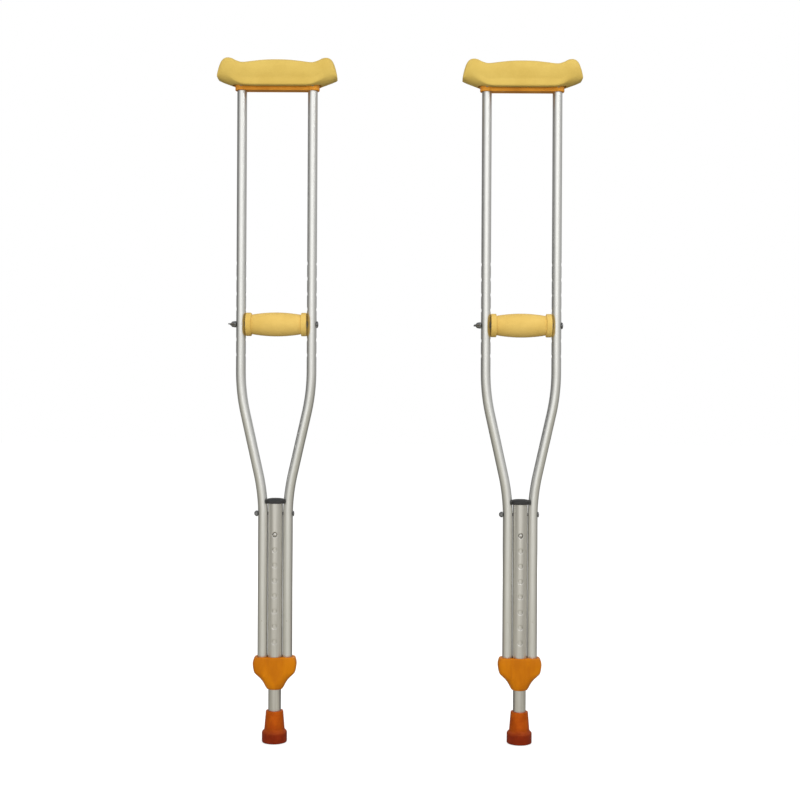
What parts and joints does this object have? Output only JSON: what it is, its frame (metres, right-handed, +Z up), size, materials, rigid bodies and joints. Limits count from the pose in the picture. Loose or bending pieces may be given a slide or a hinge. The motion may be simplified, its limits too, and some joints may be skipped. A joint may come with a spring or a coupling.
{
  "type": "pair of underarm crutches",
  "caption": "Pair of aluminium underarm crutches with moulded pads, a hand grip that moves in height, a sliding leg on snap buttons and rubber tips.",
  "frame": {"origin": "on the floor, midway between the two rubber tips", "axes": "+Z up along both crutches, +X towards the right-hand crutch as pictured, -Y towards the viewer"},
  "size_m": [0.5986, 0.05, 1.1192],
  "materials": {
    "aluminium_tube": "satin drawn tube",
    "zinc_hardware": "bright zinc plate",
    "spring_steel": "plain",
    "yellow_foam": "matt moulded foam",
    "orange_plastic": "satin",
    "amber_rubber": "satin",
    "black_plastic": "satin",
    "grey_plastic": "plain"
  },
  "bodies": {
    "frames": {"left_underarm_pad": "yellow_foam", "left_crossbar": "orange_plastic", "left_rivet_nut_side": "zinc_hardware", "left_rivet_head_side": "zinc_hardware", "left_bow_nut_side": "aluminium_tube", "left_bow_head_side": "aluminium_tube", "left_sleeve_cap": "black_plastic", "left_centre_sleeve": "aluminium_tube", "left_frame_bolt": "zinc_hardware", "left_frame_nut": "zinc_hardware", "left_bottom_bracket": "orange_plastic", "right_underarm_pad": "yellow_foam", "right_crossbar": "orange_plastic", "right_rivet_nut_side": "zinc_hardware", "right_rivet_head_side": "zinc_hardware", "right_bow_nut_side": "aluminium_tube", "right_bow_head_side": "aluminium_tube", "right_sleeve_cap": "black_plastic", "right_centre_sleeve": "aluminium_tube", "right_frame_bolt": "zinc_hardware", "right_frame_nut": "zinc_hardware", "right_bottom_bracket": "orange_plastic"},
    "left_leg": {"left_leg_tube": "aluminium_tube", "left_button_spring": "spring_steel", "left_rubber_tip": "amber_rubber", "left_tip_washer": "zinc_hardware"},
    "left_front_snap": {"left_front_button": "zinc_hardware"},
    "left_back_snap": {"left_back_button": "zinc_hardware"},
    "left_grip": {"left_hand_grip": "yellow_foam", "left_grip_core": "grey_plastic", "left_grip_bolt": "zinc_hardware"},
    "left_nut": {"left_wing_nut": "zinc_hardware"},
    "right_leg": {"right_leg_tube": "aluminium_tube", "right_button_spring": "spring_steel", "right_rubber_tip": "amber_rubber", "right_tip_washer": "zinc_hardware"},
    "right_front_snap": {"right_front_button": "zinc_hardware"},
    "right_back_snap": {"right_back_button": "zinc_hardware"},
    "right_grip": {"right_hand_grip": "yellow_foam", "right_grip_core": "grey_plastic", "right_grip_bolt": "zinc_hardware"},
    "right_nut": {"right_wing_nut": "zinc_hardware"}
  },
  "joints": [
    {"name": "left_leg_slide", "type": "slide", "parent": "frames", "child": "left_leg", "axis": [0, 0, -1], "range_m": [0, 0.175]},
    {"name": "left_front_button_press", "type": "slide", "parent": "left_leg", "child": "left_front_snap", "axis": [0, -1, 0], "range_m": [0, 0.0038], "stiffness_N_per_m": 700, "springref_m": 0.006, "deforming": ["left_button_spring"]},
    {"name": "left_back_button_press", "type": "slide", "parent": "left_leg", "child": "left_back_snap", "axis": [0, 1, 0], "range_m": [0, 0.0038], "stiffness_N_per_m": 700, "springref_m": 0.006, "deforming": ["left_button_spring"]},
    {"name": "left_grip_slide", "type": "slide", "parent": "frames", "child": "left_grip", "axis": [0, 0, 1], "range_m": [-0.05, 0.1]},
    {"name": "left_wing_nut_turn", "type": "hinge", "parent": "left_grip", "child": "left_nut", "pos_m": [-0.26685, 0, 0.6839], "axis": [-1, 0, 0], "continuous": true},
    {"name": "right_leg_slide", "type": "slide", "parent": "frames", "child": "right_leg", "axis": [0, 0, -1], "range_m": [0, 0.175]},
    {"name": "right_front_button_press", "type": "slide", "parent": "right_leg", "child": "right_front_snap", "axis": [0, -1, 0], "range_m": [0, 0.0038], "stiffness_N_per_m": 700, "springref_m": 0.006, "deforming": ["right_button_spring"]},
    {"name": "right_back_button_press", "type": "slide", "parent": "right_leg", "child": "right_back_snap", "axis": [0, 1, 0], "range_m": [0, 0.0038], "stiffness_N_per_m": 700, "springref_m": 0.006, "deforming": ["right_button_spring"]},
    {"name": "right_grip_slide", "type": "slide", "parent": "frames", "child": "right_grip", "axis": [0, 0, 1], "range_m": [-0.05, 0.1]},
    {"name": "right_wing_nut_turn", "type": "hinge", "parent": "right_grip", "child": "right_nut", "pos_m": [0.13445, 0, 0.6839], "axis": [-1, 0, 0], "continuous": true}
  ]
}
